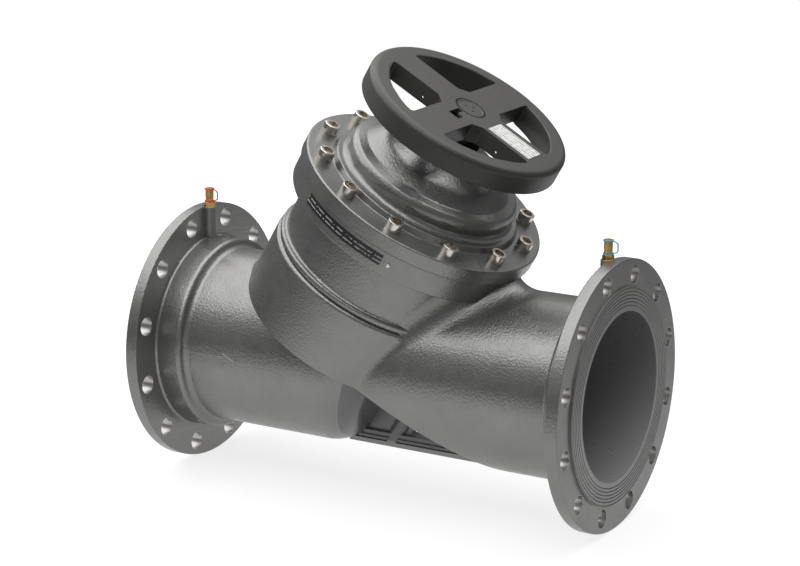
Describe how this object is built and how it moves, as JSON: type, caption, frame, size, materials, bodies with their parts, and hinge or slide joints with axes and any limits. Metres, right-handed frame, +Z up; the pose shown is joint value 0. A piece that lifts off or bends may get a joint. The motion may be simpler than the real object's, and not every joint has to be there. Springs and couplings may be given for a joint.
{
  "type": "balancing valve",
  "caption": "Flanged cast-iron balancing valve with a leaning bonnet, screwed-down throttle disc, handwheel with turn dials and two pressure test points.",
  "frame": {"origin": "centre of the raised face of the inlet flange, on the pipe axis", "axes": "+X along the pipe axis from inlet to outlet, +Z up, the branch leans in the XZ plane towards +X"},
  "size_m": [0.73, 0.4, 0.6718],
  "materials": {
    "cast_paint": "satin dark grey paint",
    "stainless": "turned",
    "bronze": "machined",
    "brass": "machined",
    "rubber": "matt",
    "wheel_plastic": "fine grained",
    "dial_plastic": "matt",
    "label_film": "satin film",
    "plate_film": "satin film",
    "red_strap": "soft gloss",
    "blue_strap": "soft gloss"
  },
  "bodies": {
    "valve": {"valve_body": "cast_paint", "seat_ring": "bronze", "bonnet": "cast_paint", "bonnet_gasket": "rubber", "bonnet_screws": "stainless", "stem_gland": "bronze", "stem_o_rings": "rubber", "lower_thrust_washer": "bronze", "upper_thrust_washer": "bronze", "tenths_dial": "dial_plastic", "nameplate": "plate_film", "nameplate_rivet": "stainless", "inlet_test_seal": "stainless", "inlet_test_nipple": "brass", "inlet_test_septum": "rubber", "inlet_test_strap": "red_strap", "outlet_test_seal": "stainless", "outlet_test_nipple": "brass", "outlet_test_septum": "rubber", "outlet_test_strap": "blue_strap"},
    "spindle": {"stem": "stainless", "handwheel": "wheel_plastic", "handwheel_screw": "stainless", "handwheel_washer": "stainless", "handwheel_cap": "wheel_plastic", "handwheel_label": "label_film"},
    "plug": {"throttle_disc": "cast_paint", "disc_seal": "rubber", "disc_retainer": "cast_paint", "retainer_screws": "stainless", "stem_nut": "bronze", "guide_key": "stainless"},
    "turns_counter": {"turns_dial": "dial_plastic"},
    "inlet_cap": {"inlet_test_cap": "brass"},
    "outlet_cap": {"outlet_test_cap": "brass"}
  },
  "joints": [
    {"name": "wheel_turn", "type": "hinge", "parent": "valve", "child": "spindle", "pos_m": [0.254, 0, 0], "axis": [0.5, 0, 0.866], "range_deg": [0, 4320]},
    {"name": "plug_lift", "type": "slide", "parent": "valve", "child": "plug", "axis": [0.5, 0, 0.866], "range_m": [0, 0.0721]},
    {"name": "turns_count", "type": "hinge", "parent": "valve", "child": "turns_counter", "pos_m": [0.254, 0, 0], "axis": [0.5, 0, 0.866], "range_deg": [0, 333]},
    {"name": "inlet_cap_pull", "type": "slide", "parent": "valve", "child": "inlet_cap", "axis": [0, 0, 1], "range_m": [0, 0.012], "deforming": ["inlet_test_strap"]},
    {"name": "outlet_cap_pull", "type": "slide", "parent": "valve", "child": "outlet_cap", "axis": [0, 0, 1], "range_m": [0, 0.012], "deforming": ["outlet_test_strap"]}
  ],
  "couplings": [
    {"joint": "plug_lift", "follows": "wheel_turn", "m_per_rad": 0.00095493},
    {"joint": "turns_count", "follows": "wheel_turn", "ratio": 0.076923}
  ]
}
